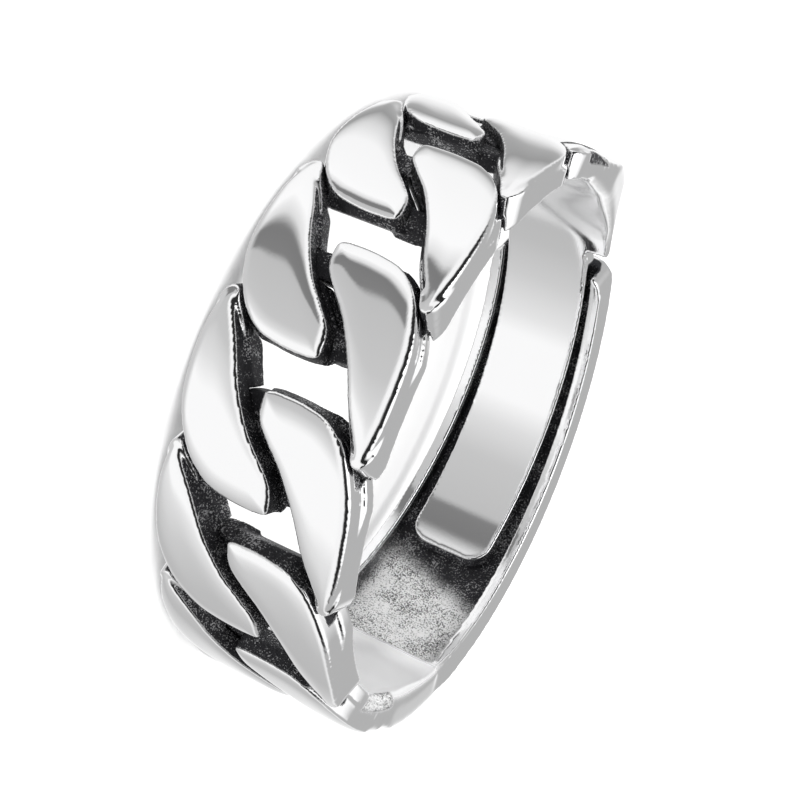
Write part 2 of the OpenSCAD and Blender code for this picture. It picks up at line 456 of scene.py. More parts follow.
def sector(name, plan, inner_r, outer_r, start, end):
    """A stretch of tube round the finger hole between two angles"""
    outline = np.concatenate([arc(outer_r, start, end), arc(inner_r, end, start)])
    reach = plan.half_w + plan.over
    return prism(name, outline, -reach, reach)


def taper(name, radius, start, start_w, end, end_w):
    """A slab with two slanted sides, along the chord between two angles"""
    chord = 2 * radius * math.sin(math.radians(end - start) / 2)
    slope = (end_w - start_w) / 2 / chord
    outline = []
    for along, side in ((-1, 1), (1, 1), (1, -1), (-1, -1)):
        x = along * 2 * radius
        outline.append((x, side * (start_w / 2 + slope * (x + chord / 2))))
    upright = Matrix.Rotation(math.pi / 2, 4, "X")
    place = turned((start + end) / 2 + 90) @ upright
    return prism(name, outline, -2 * radius, 2 * radius, place)


def boolean(base, operation, others):
    for other in others:
        step = base.modifiers.new(operation, "BOOLEAN")
        step.operation = operation
        step.solver = "MANIFOLD"
        step.object = other
    return base


def add(base, *others):
    return boolean(base, "UNION", others)


def cut(base, *others):
    return boolean(base, "DIFFERENCE", others)


def keep(base, *others):
    return boolean(base, "INTERSECT", others)


def finished_mesh(obj):
    """The object's mesh with its modifiers applied. The object itself is removed."""
    bpy.context.view_layer.update()
    ready = obj.evaluated_get(bpy.context.evaluated_depsgraph_get())
    mesh = bpy.data.meshes.new_from_object(ready)
    old = obj.data
    bpy.data.objects.remove(obj)
    bpy.data.meshes.remove(old)
    return mesh


def clear_scratch():
    for obj in [o for o in bpy.data.objects if o.name.startswith("scratch")]:
        old = obj.data
        bpy.data.objects.remove(obj)
        bpy.data.meshes.remove(old)


def coordinates(mesh):
    co = np.zeros(len(mesh.vertices) * 3, np.float32)
    mesh.vertices.foreach_get("co", co)
    return co.reshape(-1, 3).astype(float)


def normals(mesh):
    found = np.zeros(len(mesh.vertices) * 3, np.float32)
    mesh.vertex_normals.foreach_get("vector", found)
    return found.reshape(-1, 3).astype(float)


def move_points(mesh, co):
    mesh.vertices.foreach_set("co", co.astype(np.float32).ravel())
    mesh.update()
    return mesh


def angles(co):
    """Degrees round the ring, from 0 to 360"""
    return np.degrees(np.arctan2(co[:, 1], co[:, 0])) % 360


def eased(value, low, high):
    """From 0 at low to 1 at high, softly"""
    t = np.clip((value - low) / (high - low), 0, 1)
    return t * t * (3 - 2 * t)


def fading(value, low, high):
    """From 1 at low to 0 at high, softly"""
    return 1 - eased(value, low, high)


def between(value, start, full, wane, end):
    """1 from full to wane, and 0 before start and past end"""
    return eased(value, start, full) * fading(value, wane, end)


def remeshed(mesh, step):
    """A fine even mesh that lies on the same surfaces. It is made at a slant, because the steps
    of the mesh would show along an edge that runs nearly straight through them."""
    mesh.transform(SLANT)
    form = shown("scratch_form", mesh.copy())
    obj = shown("scratch_fine", mesh)
    fine = obj.modifiers.new("Fine", "REMESH")
    fine.mode = "VOXEL"
    fine.voxel_size = step
    hold = obj.modifiers.new("Hold", "SHRINKWRAP")
    hold.wrap_method = "NEAREST_SURFACEPOINT"
    hold.target = form
    done = finished_mesh(obj)
    clear_scratch()
    done.transform(SLANT.inverted())
    return done


def thinned(mesh, ratio):
    """The mesh with fewer faces where it is nearly flat"""
    obj = shown("scratch_thin", mesh)
    thin = obj.modifiers.new("Thin", "DECIMATE")
    thin.ratio = ratio
    return finished_mesh(obj)


def softened(mesh, rounds, weights=None):
    """The mesh with its edges made rounder, more so where a weight is high"""
    obj = shown("scratch_soft", mesh)
    soft = obj.modifiers.new("Soft", "SMOOTH")
    soft.factor = 0.5
    soft.iterations = rounds
    if weights is not None:
        group = obj.vertex_groups.new(name="Soft")
        for level in range(1, 6):
            chosen = np.flatnonzero(np.round(weights * 5) == level)
            group.add(chosen.tolist(), level / 5, "REPLACE")
        soft.vertex_group = group.name
    return finished_mesh(obj)


def rim_radius(plan, side, turns):
    """Radius of the lobes' rims at each angle. The round they lie on leans to one side."""
    sx, sy = plan.top_shift, side * plan.chain_lean
    along = sx * np.cos(turns) + sy * np.sin(turns)
    off = sx * np.sin(turns) - sy * np.cos(turns)
    return along + np.sqrt(plan.rim_r**2 - off**2)


def inside_distance(points, outline):
    """How far each point lies inside an outline. Points outside get 0."""
    start = outline
    edge = np.roll(outline, -1, 0) - outline
    rel = points[:, None, :] - start[None]
    t = np.clip((rel * edge).sum(2) / (edge**2).sum(1), 0, 1)
    near = np.sqrt(((rel - t[..., None] * edge) ** 2).sum(2)).min(1)
    x, y = points[:, 0, None], points[:, 1, None]
    x0, y0 = start[:, 0], start[:, 1]
    y1 = y0 + edge[:, 1]
    rise = np.where(y1 == y0, 1, y1 - y0)
    crosses = ((y0 > y) != (y1 > y)) & (x < x0 + (y - y0) * edge[:, 0] / rise)
    return np.where(crosses.sum(1) % 2 == 1, near, 0.0)


# Depths under a lobe's rim at which its dome starts and is whole
DOME_START = 0.3
DOME_WHOLE = 0.1


def pillow(mesh, plan, side, turn, lobes):
    """Raises the tops of the lobes into soft domes. Each lobe is a slit's number and whether
    it is the left-hand one."""
    co = coordinates(mesh)
    radius = np.hypot(co[:, 0], co[:, 1])
    turns = np.arctan2(co[:, 1], co[:, 0])
    rim = rim_radius(plan, side, turns)
    outline = lobe_outline(plan)
    lift = np.zeros(len(co))
    for k, left in lobes:
        middle = math.radians(plan.slit_angle(k) + turn)
        height = co[:, 0] * math.cos(middle) + co[:, 1] * math.sin(middle)
        along = co[:, 1] * math.cos(middle) - co[:, 0] * math.sin(middle)
        flat = np.stack([along, co[:, 2]], 1) * (-1 if left else 1)
        near = (radius > rim - DOME_START) & (height > 0) & (np.abs(along) < plan.link_spacing)
        depth = np.zeros(len(co))
        depth[near] = inside_distance(flat[near], outline)
        rise = plan.pillow * (1 - (1 - np.clip(depth / plan.pillow_w, 0, 1)) ** 3)
        lift = np.maximum(lift, rise * eased(radius, rim - DOME_START, rim - DOME_WHOLE))
    co[:, 0] += lift * np.cos(turns)
    co[:, 1] += lift * np.sin(turns)
    return move_points(mesh, co)


def lobe_parts(name, plan, k, left, turn):
    """The lobe at slit k: a wider foot below, the top above, and its head cut back"""
    place = outward(plan.slit_angle(k) + turn, left)
    low = plan.bore_r - plan.over
    high = plan.bore_r + plan.step_h
    foot = prism(name + "_foot", foot_outline(plan, plan.foot_ledge), low, high, place)
    body = prism(name, lobe_outline(plan), low, plan.top_r + plan.over, place)
    lean = plan.undercut_w / plan.undercut_h
    head = LOBE[1][0] * plan.link_spacing - plan.foot_ledge
    far = head - plan.over * lean
    wedge = [
        (plan.bore_r - 2 * plan.over, head + plan.undercut_w + 2 * plan.over * lean),
        (plan.bore_r + plan.undercut_h + plan.over, far),
        (plan.bore_r - 2 * plan.over, far),
    ]
    flip = Matrix.Rotation(math.pi if left else 0, 4, "X")
    under = prism(
        name + "_under",
        wedge,
        -plan.chain_w,
        plan.chain_w,
        turned(plan.slit_angle(k) + turn) @ flip,
    )
    return cut(add(body, foot), under)


def lobe_room(name, plan, k, left, turn):
    """The room that a neighbour's lobe needs"""
    place = outward(plan.slit_angle(k) + turn, left)
    low = plan.bore_r - 2 * plan.over
    ledge = plan.foot_ledge + plan.gap
    high = plan.bore_r + plan.step_h + plan.gap
    foot = prism(name + "_foot", lobe_outline(plan, ledge), low, high, place)
    body = prism(name, lobe_outline(plan, plan.gap), low, plan.top_r + 2 * plan.over, place)
    return add(body, foot)


def bar_part(name, plan, k, left, turn, room=0.0):
    place = outward(plan.slit_angle(k) + turn, left)
    low = plan.bore_r - plan.over * (2 if room else 1)
    outline = band_outline(BAR, plan.bar_w + 2 * room, plan)
    return prism(name, outline, low, plan.bore_r + plan.step_h + room, place)


def web_part(name, plan, k, turn, reach=1.0):
    """The low web between the two lobes beside a slit, which may reach further at its start"""
    place = outward(plan.slit_angle(k) + turn)
    table = [(a * (reach if a < 0 else 1), b * (reach if a < 0 else 1)) for a, b in WEB]
    outline = band_outline(table, plan.web_w, plan)
    return prism(name, outline, plan.bore_r - plan.over, plan.bore_r + plan.web_h, place)


def between_sides(name, plan):
    reach = 2 * plan.top_r
    square = [(-reach, -reach), (reach, -reach), (reach, reach), (-reach, reach)]
    return prism(name, square, -plan.half_w, plan.half_w)


def rim_round(name, plan, side):
    height = plan.chain_w + 2 * plan.over
    return cylinder(name, plan.rim_r, height, (plan.top_shift, side * plan.chain_lean))


def finger_hole(name, plan):
    return cylinder(name, plan.bore_r, 2 * plan.chain_w)


def link_form(plan, m):
    """Link m, whose left lobe lies at slit m and whose right lobe lies at slit m - 1"""
    turn = plan.chain_turn
    body = lobe_parts("scratch_left", plan, m, True, turn)
    add(body, lobe_parts("scratch_right", plan, m - 1, False, turn))
    add(body, web_part("scratch_web", plan, m, turn, FIRST_WEB_REACH if m == 1 else 1.0))
    if m == 1:
        add(body, web_part("scratch_first_web", plan, 0, turn))
    cut(
        body,
        lobe_room("scratch_room_a", plan, m, False, turn),
        lobe_room("scratch_room_b", plan, m - 1, True, turn),
        bar_part("scratch_bar_room_a", plan, m, True, turn, plan.gap),
        bar_part("scratch_bar_room_b", plan, m - 1, False, turn, plan.gap),
    )
    add(
        body,
        bar_part("scratch_bar_a", plan, m, False, turn),
        bar_part("scratch_bar_b", plan, m - 1, True, turn),
    )
    keep(body, rim_round("scratch_rim", plan, 1), between_sides("scratch_sides", plan))
    cut(body, finger_hole("scratch_hole", plan))
    mesh = finished_mesh(body)
    clear_scratch()
    return mesh


def shoulder_form(plan, end_r, end_angle, end_w):
    """The shoulder: one slope up to its highest line and one down to the shank"""
    start, crest, end = (
        Vector((r * math.cos(math.radians(a)), r * math.sin(math.radians(a))))
        for r, a in (
            (plan.bore_r + plan.shoulder_start_t, plan.block_angle),
            (plan.shoulder_r, plan.shoulder_angle),
            (end_r, end_angle),
        )
    )
    before = crest + (start - crest).normalized() * plan.crest_round
    after = crest + (end - crest).normalized() * plan.crest_round
    outline = [start]
    for t in np.linspace(0, 1, 9):
        outline.append(before * (1 - t) ** 2 + crest * 2 * t * (1 - t) + after * t**2)
    outline.append(end)
    for degrees in (end_angle, plan.block_angle):
        low = plan.bore_r - plan.over
        turn = math.radians(degrees)
        outline.append((low * math.cos(turn), low * math.sin(turn)))
    reach = plan.half_w + plan.over
    block = prism("scratch_shoulder", outline, -reach, reach)
    keep(
        block,
        crowned_round("scratch_crown", plan.shoulder_r, plan.crown, plan.half_w, plan.over),
        taper("scratch_sides_cut", plan.top_r, plan.square_angle, plan.chain_w, end_angle, end_w),
    )
    return block


def end_link_form(plan, end_r, end_angle, end_w, side):
    """The end of the chain that is one piece with a shank end"""
    turn = side * plan.chain_turn
    body = keep(
        lobe_parts("scratch_lobe", plan, LINKS, False, turn),
        rim_round("scratch_rim_a", plan, side),
    )
    last = keep(
        lobe_parts("scratch_last", plan, LINKS + 1, True, turn),
        rim_round("scratch_rim_b", plan, side),
    )
    low = plan.bore_r - 2 * plan.over
    cut(last, sector("scratch_stop", plan, low, plan.top_r + 2, plan.square_angle, 180))
    start = plan.slit_angle(LINKS + 1 / 6) + turn
    floor = prism(
        "scratch_floor",
        np.concatenate(
            [
                arc(plan.bore_r + plan.step_h, start, plan.block_angle + 1),
                arc(plan.bore_r - plan.over, plan.block_angle + 1, start),
            ]
        ),
        -plan.floor_half,
        plan.floor_half,
    )
    add(body, last, floor, shoulder_form(plan, end_r, end_angle, end_w))
    cut(
        body,
        lobe_room("scratch_room", plan, LINKS, True, turn),
        bar_part("scratch_bar_room", plan, LINKS, False, turn, plan.gap),
    )
    return add(body, bar_part("scratch_bar", plan, LINKS, True, turn))


def end_cut(name, plan, degrees, width):
    """What is cut from a strip past an angle, which leaves two round corners"""
    r, half, over = plan.end_round, width / 2, plan.over
    side = [(over, half + over), (-r, half + over)]
    for turn in np.radians(np.linspace(0, 90, 13)):
        side.append((r * (math.sin(turn) - 1), half + r * (math.cos(turn) - 1)))
    outline = side + [(x, -y) for x, y in reversed(side)]
    return prism(name, outline, 0, 2 * plan.top_r, outward(degrees))


def channel_form(plan):
    body = end_link_form(plan, plan.channel_r, plan.shoulder_end, plan.shoulder_w, 1)
    inner = plan.bore_r - plan.over
    end = plan.channel_end
    past_end = end + plan.spare_angle
    strip = sector("scratch_strip", plan, inner, plan.channel_r, plan.strip_start, past_end)
    sides = (plan.channel_r, plan.shoulder_end)
    keep(strip, taper("scratch_taper", *sides, plan.shoulder_w, end, plan.channel_end_w))
    add(body, strip)
    keep(body, between_sides("scratch_sides", plan))
    recess = sector(
        "scratch_recess",
        plan,
        inner - plan.over,
        plan.channel_r - plan.floor_t,
        plan.recess_angle,
        past_end + plan.spare_angle,
    )
    walls = 2 * plan.wall_t
    keep(
        recess,
        taper("scratch_inset", *sides, plan.shoulder_w - walls, end, plan.channel_end_w - walls),
    )
    cut(
        body,
        finger_hole("scratch_hole", plan),
        recess,
        end_cut("scratch_end", plan, end, plan.channel_end_w),
    )
    mesh = finished_mesh(body)
    clear_scratch()
    return mesh


def tongue_form(plan):
    """The tongue's end, built upside down: it is turned over afterwards"""
    root_r = plan.bore_r + plan.tongue_t / 2
    body = end_link_form(plan, root_r, plan.slope_end_angle, plan.tongue_root_w, -1)
    inner = plan.bore_r - plan.over
    end = plan.tongue_end
    outer = plan.bore_r + plan.tongue_t
    past_end = end + plan.spare_angle
    outline = np.concatenate(
        [arc(outer, plan.strip_start, past_end), arc(inner, past_end, plan.strip_start)]
    )
    add(body, prism("scratch_strip", outline, -plan.tongue_w / 2, plan.tongue_w / 2))
    keep(body, between_sides("scratch_sides", plan))
    cut(
        body,
        finger_hole("scratch_hole", plan),
        end_cut("scratch_end", plan, end, plan.tongue_w),
    )
    mesh = finished_mesh(body)
    clear_scratch()
    return mesh


def store(mesh, name, values):
    layer = mesh.attributes.new(name, "FLOAT", "POINT")
    layer.data.foreach_set("value", values.astype(np.float32))


def blurred(mesh, values, rounds):
    """Values of a mesh's points, each mixed with those of its neighbours"""
    pairs = np.zeros(len(mesh.edges) * 2, np.int32)
    mesh.edges.foreach_get("vertices", pairs)
    a, b = pairs.reshape(-1, 2).T
    count = np.bincount(a, minlength=len(values)) + np.bincount(b, minlength=len(values))
    for _ in range(rounds):
        total = np.bincount(a, values[b], len(values)) + np.bincount(b, values[a], len(values))
        values = (values + total / np.maximum(count, 1)) / 2
    return values


# How squarely a surface faces one way, from where a mark of the finish starts to where it is full
FACING_OUT = (0.5, 0.7)
FACING_SIDE = (0.25, 0.45)
FACING_HOLE = (0.4, 0.6)
FACING_DENT = (0.3, 0.5)

# Millimetres: how far under a lobe's rim its sides begin to be polished, and how thick a skin of
# metal counts as the inside of the finger hole
RIM_DEPTH = (-0.4, -0.25)
HOLE_SKIN = 0.12

# Shares of half the chain's width: where side faces are polished, and where they are near a rim
SIDE_LEVEL = (0.86, 0.9)
RIM_LEVEL = (0.58, 0.7)

# Dark places beside the tongue's shoulder. Angles are in degrees past the last lobe, and heights
# in millimetres over the finger hole.
DENT_ANGLES = (-1, 0, 12, 14)
DENT_FLOOR = (0.45, 0.53)
DENT_ROOF = 0.95
DENT_SLOPE = 0.033
DENT_EDGE = 0.08
NOTCH_LEVEL = (0.9, 0.93)

# Blasted pocket beside the channel's shoulder, in the same measures
POCKET_ANGLES = (0, 1, 14, 17)
POCKET_ROOF = 0.62
POCKET_SLOPE = 0.03
POCKET_EDGE = 0.1
POCKET_BLAST = 0.8

# The tongue's inner side is less satin than the channel's
TONGUE_SATIN = 0.5


class Surface:
    """Where each point of a mesh lies on the ring, and which way it faces"""

    def __init__(self, mesh, plan):
        co, way = coordinates(mesh), normals(mesh)
        self.z = co[:, 2]
        self.radius = np.hypot(co[:, 0], co[:, 1])
        self.height = self.radius - plan.bore_r
        self.turns = np.arctan2(co[:, 1], co[:, 0])
        self.degrees = angles(co)
        self.past_lobe = self.degrees - plan.last_lobe
        self.level = np.abs(self.z) / plan.half_w
        self.out = (way[:, 0] * co[:, 0] + way[:, 1] * co[:, 1]) / self.radius
        self.aside = way[:, 2] * np.sign(self.z)


def tongue_dents(at, plan):
    """The dark notch and dent between the last lobe and the tongue's shoulder"""
    block = plan.block_angle
    notch = between(at.degrees, plan.last_lobe, plan.last_lobe + 1, block - 1, block)
    notch = notch * eased(at.out, *FACING_DENT) * fading(at.level, *NOTCH_LEVEL)
    roof = DENT_ROOF - DENT_SLOPE * at.past_lobe
    dent = eased(at.aside, *FACING_DENT) * between(at.past_lobe, *DENT_ANGLES)
    dent = dent * between(at.height, *DENT_FLOOR, roof - DENT_EDGE, roof)
    return np.maximum(notch, dent) * (at.z < 0)


def channel_pocket(at):
    """The pocket in the side of the channel's shoulder"""
    roof = POCKET_ROOF - POCKET_SLOPE * at.past_lobe
    pocket = eased(at.aside, *FACING_DENT) * between(at.past_lobe, *POCKET_ANGLES)
    return pocket * fading(at.height, roof - POCKET_EDGE, roof) * (at.z > 0)


def channel_floor(at, plan):
    """The channel's floor and inner walls, and the part of them that shows blasted silver. That
    part leaves out a shadow of the tongue painted on the floor, and the floor is dark as well
    along the foot of the walls and at the recess's start. Soft edges are in degrees along the
    ring, and in millimetres across it."""
    half = plan.shoulder_w / 2 - plan.wall_t
    deep = eased(at.height, 0.1, 0.25) * (at.radius < plan.channel_r - 0.2)
    along = eased(at.degrees, plan.recess_angle - 0.8, plan.recess_angle + 0.2)
    recess = deep * along * (np.abs(at.z) < half + 0.05) * (at.aside < 0.5)
    # Edge of the painted shadow under the tongue, slanting across the floor
    shadow = plan.painted_shadow_end - 4 * at.z / half
    clear_of_painted_shadow = fading(at.degrees, shadow - 4, shadow + 2)
    clear_of_painted_shadow = clear_of_painted_shadow * fading(np.abs(at.z), half - 0.5, half)
    clear_of_painted_shadow = clear_of_painted_shadow * eased(at.degrees, plan.recess_angle, plan.recess_angle + 4)
    return recess, recess * clear_of_painted_shadow


def mark_finish(mesh, plan, side_of_shank):
    """Stores where the silver is polished, satin or blasted. What is left is dark, and on the
    channel's floor that dark includes a painted shadow of the tongue.
    """
    at = Surface(mesh, plan)
    high = eased(at.radius - rim_radius(plan, side_of_shank or 1, at.turns), *RIM_DEPTH)
    side_face = np.maximum(eased(at.level, *SIDE_LEVEL), eased(at.level, *RIM_LEVEL) * high)
    flank = eased(at.aside, *FACING_SIDE) * side_face
    facing = np.maximum(eased(at.out, *FACING_OUT), flank)
    hole = eased(-at.out, *FACING_HOLE) * (at.height < HOLE_SKIN)
    polish = np.maximum(facing * np.maximum(high, flank), hole)
    matt = np.zeros(len(polish))
    satin = np.zeros(len(polish))
    if side_of_shank:
        shank = eased(at.degrees, plan.block_angle + 0.2, plan.block_angle + 0.8)
        polish = np.maximum(polish, shank)
        satin = hole * fading(at.degrees, plan.recess_angle - 3, plan.recess_angle + 3)
    if side_of_shank < 0:
        satin = satin * TONGUE_SATIN
        polish = polish * (1 - tongue_dents(at, plan))
    if side_of_shank > 0:
        recess, clear_of_painted_shadow = channel_floor(at, plan)
        pocket = channel_pocket(at)
        polish = polish * (1 - np.maximum(recess, pocket))
        # The blasted silver stops at the tongue's painted shadow, where the dark colour of the
        # recesses shows instead
        matt = np.maximum(clear_of_painted_shadow, POCKET_BLAST * pocket)
    for name, values in (("polish", polish), ("matt", matt), ("satin", satin)):
        store(mesh, name, blurred(mesh, values, ROUNDS_MARKS))


def place_piece(mesh, name, plan, upside_down, material):
    """Puts a finished mesh in its place in metres, as the piece that stands for a solid"""
    flip = Matrix.Rotation(math.pi if upside_down else 0, 4, "X")
    lift = Matrix.Translation((0, 0, plan.half_w))
    mesh.transform(Matrix.Scale(MM, 4) @ lift @ flip)
    mesh.polygons.foreach_set("use_smooth", [True] * len(mesh.polygons))
    mesh.name = name
    mesh.materials.clear()
    mesh.materials.append(material)
    return shown(name, mesh)


def sockets(group, entries):
    for name, way, kind in entries:
        group.interface.new_socket(name=name, in_out=way, socket_type=kind)


def node(tree, kind, **settings):
    made = tree.nodes.new(kind)
    for key, value in settings.items():
        setattr(made, key, value)
    return made


def math_node(tree, operation, first, second, clamp=False):
    made = node(tree, "ShaderNodeMath", operation=operation, use_clamp=clamp)
    for socket, value in zip(made.inputs, (first, second)):
        if isinstance(value, bpy.types.NodeSocket):
            tree.links.new(value, socket)
        else:
            socket.default_value = value
    return made.outputs[0]


def times(tree, first, second):
    return math_node(tree, "MULTIPLY", first, second)


def plus(tree, first, second, clamp=False):
    return math_node(tree, "ADD", first, second, clamp)


def minus(tree, first, second, clamp=False):
    return math_node(tree, "SUBTRACT", first, second, clamp)


def mix_colours(tree, factor, first, second):
    made = node(tree, "ShaderNodeMix", data_type="RGBA")
    wanted = (made.inputs[0], made.inputs[6], made.inputs[7])
    for socket, value in zip(wanted, (factor, first, second)):
        if isinstance(value, bpy.types.NodeSocket):
            tree.links.new(value, socket)
        else:
            socket.default_value = value
    return made.outputs[2]


def stretch(tree, value, low, high):
    """0 below low and 1 above high, with a soft step between"""
    made = node(tree, "ShaderNodeMapRange", clamp=True, interpolation_type="SMOOTHSTEP")
    tree.links.new(value, made.inputs["Value"])
    made.inputs["From Min"].default_value = low
    made.inputs["From Max"].default_value = high
    return made.outputs["Result"]


def opaque(rgb):
    return (*rgb, 1.0)


def grey(value):
    return opaque((value, value, value))


def grain_group():
    """Cast grain: a height, a mask of the few grains that catch the light, and large patches"""
    name = "Cast grain"
    if name in bpy.data.node_groups:
        return bpy.data.node_groups[name]
    group = bpy.data.node_groups.new(name, "ShaderNodeTree")
    sockets(
        group,
        [
            ("Vector", "INPUT", "NodeSocketVector"),
            ("Grains per metre", "INPUT", "NodeSocketFloat"),
            ("Height", "OUTPUT", "NodeSocketFloat"),
            ("Glints", "OUTPUT", "NodeSocketFloat"),
            ("Patches", "OUTPUT", "NodeSocketFloat"),
        ],
    )
    source = node(group, "NodeGroupInput")
    result = node(group, "NodeGroupOutput")
    link = group.links.new
    layers = []

    # Lumps, finer grit and large patches: share of the scale, and detail
    for share_of_scale, detail in ((1.0, 3.0), (2.3, 2.0), (0.07, 2.0)):
        layer = node(group, "ShaderNodeTexNoise")
        layer.inputs["Detail"].default_value = detail
        link(source.outputs["Vector"], layer.inputs["Vector"])
        scale = times(group, source.outputs["Grains per metre"], share_of_scale)
        link(scale, layer.inputs["Scale"])
        layers.append(layer.outputs["Fac"])
    lumps, grit, patches = layers
    link(plus(group, lumps, times(group, grit, 0.5)), result.inputs["Height"])
    # Painted glints: the highest grains get a bright colour, as if they catch the light
    bright = stretch(group, plus(group, lumps, times(group, patches, 0.5)), 0.8, 0.92)
    link(bright, result.inputs["Glints"])
    link(patches, result.inputs["Patches"])
    return group


def polish_group():
    """Wear of polished silver: a small change of roughness and faint scratches"""
    name = "Polish wear"
    if name in bpy.data.node_groups:
        return bpy.data.node_groups[name]
    group = bpy.data.node_groups.new(name, "ShaderNodeTree")
    sockets(
        group,
        [
            ("Vector", "INPUT", "NodeSocketVector"),
            ("Haze", "OUTPUT", "NodeSocketFloat"),
            ("Height", "OUTPUT", "NodeSocketFloat"),
        ],
    )
    source = node(group, "NodeGroupInput")
    result = node(group, "NodeGroupOutput")
    link = group.links.new
    haze = node(group, "ShaderNodeTexNoise")
    haze.inputs["Scale"].default_value = 700.0
    haze.inputs["Detail"].default_value = 4.0
    link(source.outputs["Vector"], haze.inputs["Vector"])
    link(haze.outputs["Fac"], result.inputs["Haze"])
    drawn_out = node(group, "ShaderNodeMapping")
    drawn_out.inputs["Scale"].default_value = (900.0, 2600.0, 9000.0)
    drawn_out.inputs["Rotation"].default_value = (0.4, 0.7, 0.5)
    link(source.outputs["Vector"], drawn_out.inputs["Vector"])
    lines = node(group, "ShaderNodeTexNoise")
    lines.inputs["Scale"].default_value = 3.0
    lines.inputs["Detail"].default_value = 5.0
    link(drawn_out.outputs["Vector"], lines.inputs["Vector"])
    link(lines.outputs["Fac"], result.inputs["Height"])
    return group


# How ragged and how sharp the edges of the polish are
EDGE_RAGGED = 0.3
EDGE_SHARP = 3.0

# Middle height of the grain, and grain heights between which blasted silver has dark pits
GRAIN_MIDDLE = 0.75
PIT_LEVELS = (0.98, 0.78)
PIT_PATCHES = 0.4
PIT_GREY = 0.06

# How much wear changes the roughness, height of a scratch in metres, and height of the grain as
# a share of its size
WEAR_ROUGHNESS = 0.08
SCRATCH_HEIGHT = 0.0000006
GRAIN_HEIGHT = 0.9

# How much of blasted and of satin silver looks like a pale dust and not like bare metal
BLAST_DUST = 0.7
SATIN_DUST = 0.4


def silver_material(name, finish):
    """Polished silver with dark recesses that carry painted glints on their grains, and satin or
    blasted silver where a piece is marked. The dark colour also paints the tongue's shadow on the
    channel's floor.
    """
    material = bpy.data.materials.new(name)
    material.use_nodes = True
    tree = material.node_tree
    tree.nodes.clear()
    link = tree.links.new
    output = node(tree, "ShaderNodeOutputMaterial")
    shader = node(tree, "ShaderNodeBsdfPrincipled")
    link(shader.outputs[0], output.inputs[0])
    place = node(tree, "ShaderNodeTexCoord").outputs["Object"]
    polish, matt, satin = (
        node(tree, "ShaderNodeAttribute", attribute_name=mark).outputs["Fac"]
        for mark in ("polish", "matt", "satin")
    )
    grain = node(tree, "ShaderNodeGroup", node_tree=grain_group())
    grain.inputs["Grains per metre"].default_value = 1 / finish.grain
    wear = node(tree, "ShaderNodeGroup", node_tree=polish_group())
    link(place, grain.inputs["Vector"])
    link(place, wear.inputs["Vector"])

    # Where the silver is polished, with a ragged edge to the dark and blasted places
    ragged = times(tree, minus(tree, grain.outputs["Height"], GRAIN_MIDDLE), EDGE_RAGGED)
    edge = plus(tree, minus(tree, polish, 0.5), ragged)
    edge = plus(tree, times(tree, edge, EDGE_SHARP), 0.5, clamp=True)
    bright = times(tree, edge, minus(tree, 1.0, matt))
    dull = minus(tree, 1.0, bright)

    # Dark colour with painted glints on its grains. The same dark colour fills the recesses and
    # paints the tongue's shadow on the channel's floor.
    dark = mix_colours(tree, grain.outputs["Glints"], opaque(finish.oxide_and_shadow), opaque(finish.grain_glint))
    patches = times(tree, grain.outputs["Patches"], PIT_PATCHES)
    pits = stretch(tree, plus(tree, grain.outputs["Height"], patches), *PIT_LEVELS)
    blasted = mix_colours(tree, pits, opaque(finish.matt), grey(PIT_GREY))
    under = mix_colours(tree, matt, dark, blasted)
    link(mix_colours(tree, bright, under, opaque(finish.silver)), shader.inputs["Base Color"])

    haze = times(tree, minus(tree, wear.outputs["Haze"], 0.5), WEAR_ROUGHNESS)
    shine = plus(tree, haze, finish.polish)
    shine = plus(tree, shine, times(tree, satin, finish.satin - finish.polish))
    rough = times(tree, dull, finish.blast - finish.polish)
    link(plus(tree, shine, rough, clamp=True), shader.inputs["Roughness"])
    dust = plus(tree, times(tree, matt, BLAST_DUST), times(tree, satin, SATIN_DUST))
    link(minus(tree, 1.0, dust, clamp=True), shader.inputs["Metallic"])

    lumps = times(tree, times(tree, grain.outputs["Height"], dull), finish.grain * GRAIN_HEIGHT)
    lines = times(tree, wear.outputs["Height"], SCRATCH_HEIGHT)
    bump = node(tree, "ShaderNodeBump")
    bump.inputs["Strength"].default_value = 1.0
    bump.inputs["Distance"].default_value = 1.0
    link(plus(tree, lumps, lines), bump.inputs["Height"])
    link(bump.outputs["Normal"], shader.inputs["Normal"])
    return material


def material_of(slot):
    """The material of one of the record's slots, made once"""
    name = slot.replace("_", " ").capitalize()
    found = bpy.data.materials.get(name)
    return found or silver_material(name, bpy.context.scene.chain_ring_finish)


def eased_inside(mesh, plan):
    """Makes the shoulder a little thicker inside, and rounds the finger hole's edges there, so
    that the ring is comfortable to wear"""
    co = coordinates(mesh)
    radius = np.hypot(co[:, 0], co[:, 1])
    degrees = angles(co)
    widest = np.zeros(360)
    np.maximum.at(widest, degrees.astype(int) % 360, np.abs(co[:, 2]))
    widest = np.convolve(np.pad(widest, 3, mode="wrap"), np.ones(7) / 7, "valid")
    half = np.interp(degrees, np.arange(360) + 0.5, widest)
    fall = fading(degrees, plan.shoulder_angle - 2, plan.recess_angle + 2)
    rise = eased(degrees, plan.last_lobe, plan.last_lobe + 8)
    reach = np.maximum(plan.inner_round * rise * fall, 1e-6)

    # A point near the edge moves onto a quarter round that is as large as the reach
    from_side, from_hole = half - np.abs(co[:, 2]), radius - plan.bore_r
    place = from_hole - from_side
    near = (np.abs(place) < reach) & (from_side < reach) & (from_hole < reach)
    turn = math.pi / 4 * (1 - place / reach)
    level = np.where(near, half - reach * (1 - np.cos(turn)), np.abs(co[:, 2]))
    from_hole = np.where(near, reach * (1 - np.sin(turn)), from_hole)

    rise = eased(degrees, plan.last_lobe - 2, plan.block_angle + 8)
    swell = plan.inner_swell * rise * fall
    inward = swell * (1 - np.clip(from_hole / plan.channel_t, 0, 1))
    scale = (plan.bore_r + from_hole - inward) / radius
    co[:, 0] *= scale
    co[:, 1] *= scale
    co[:, 2] = np.sign(co[:, 2]) * level
    return move_points(mesh, co)


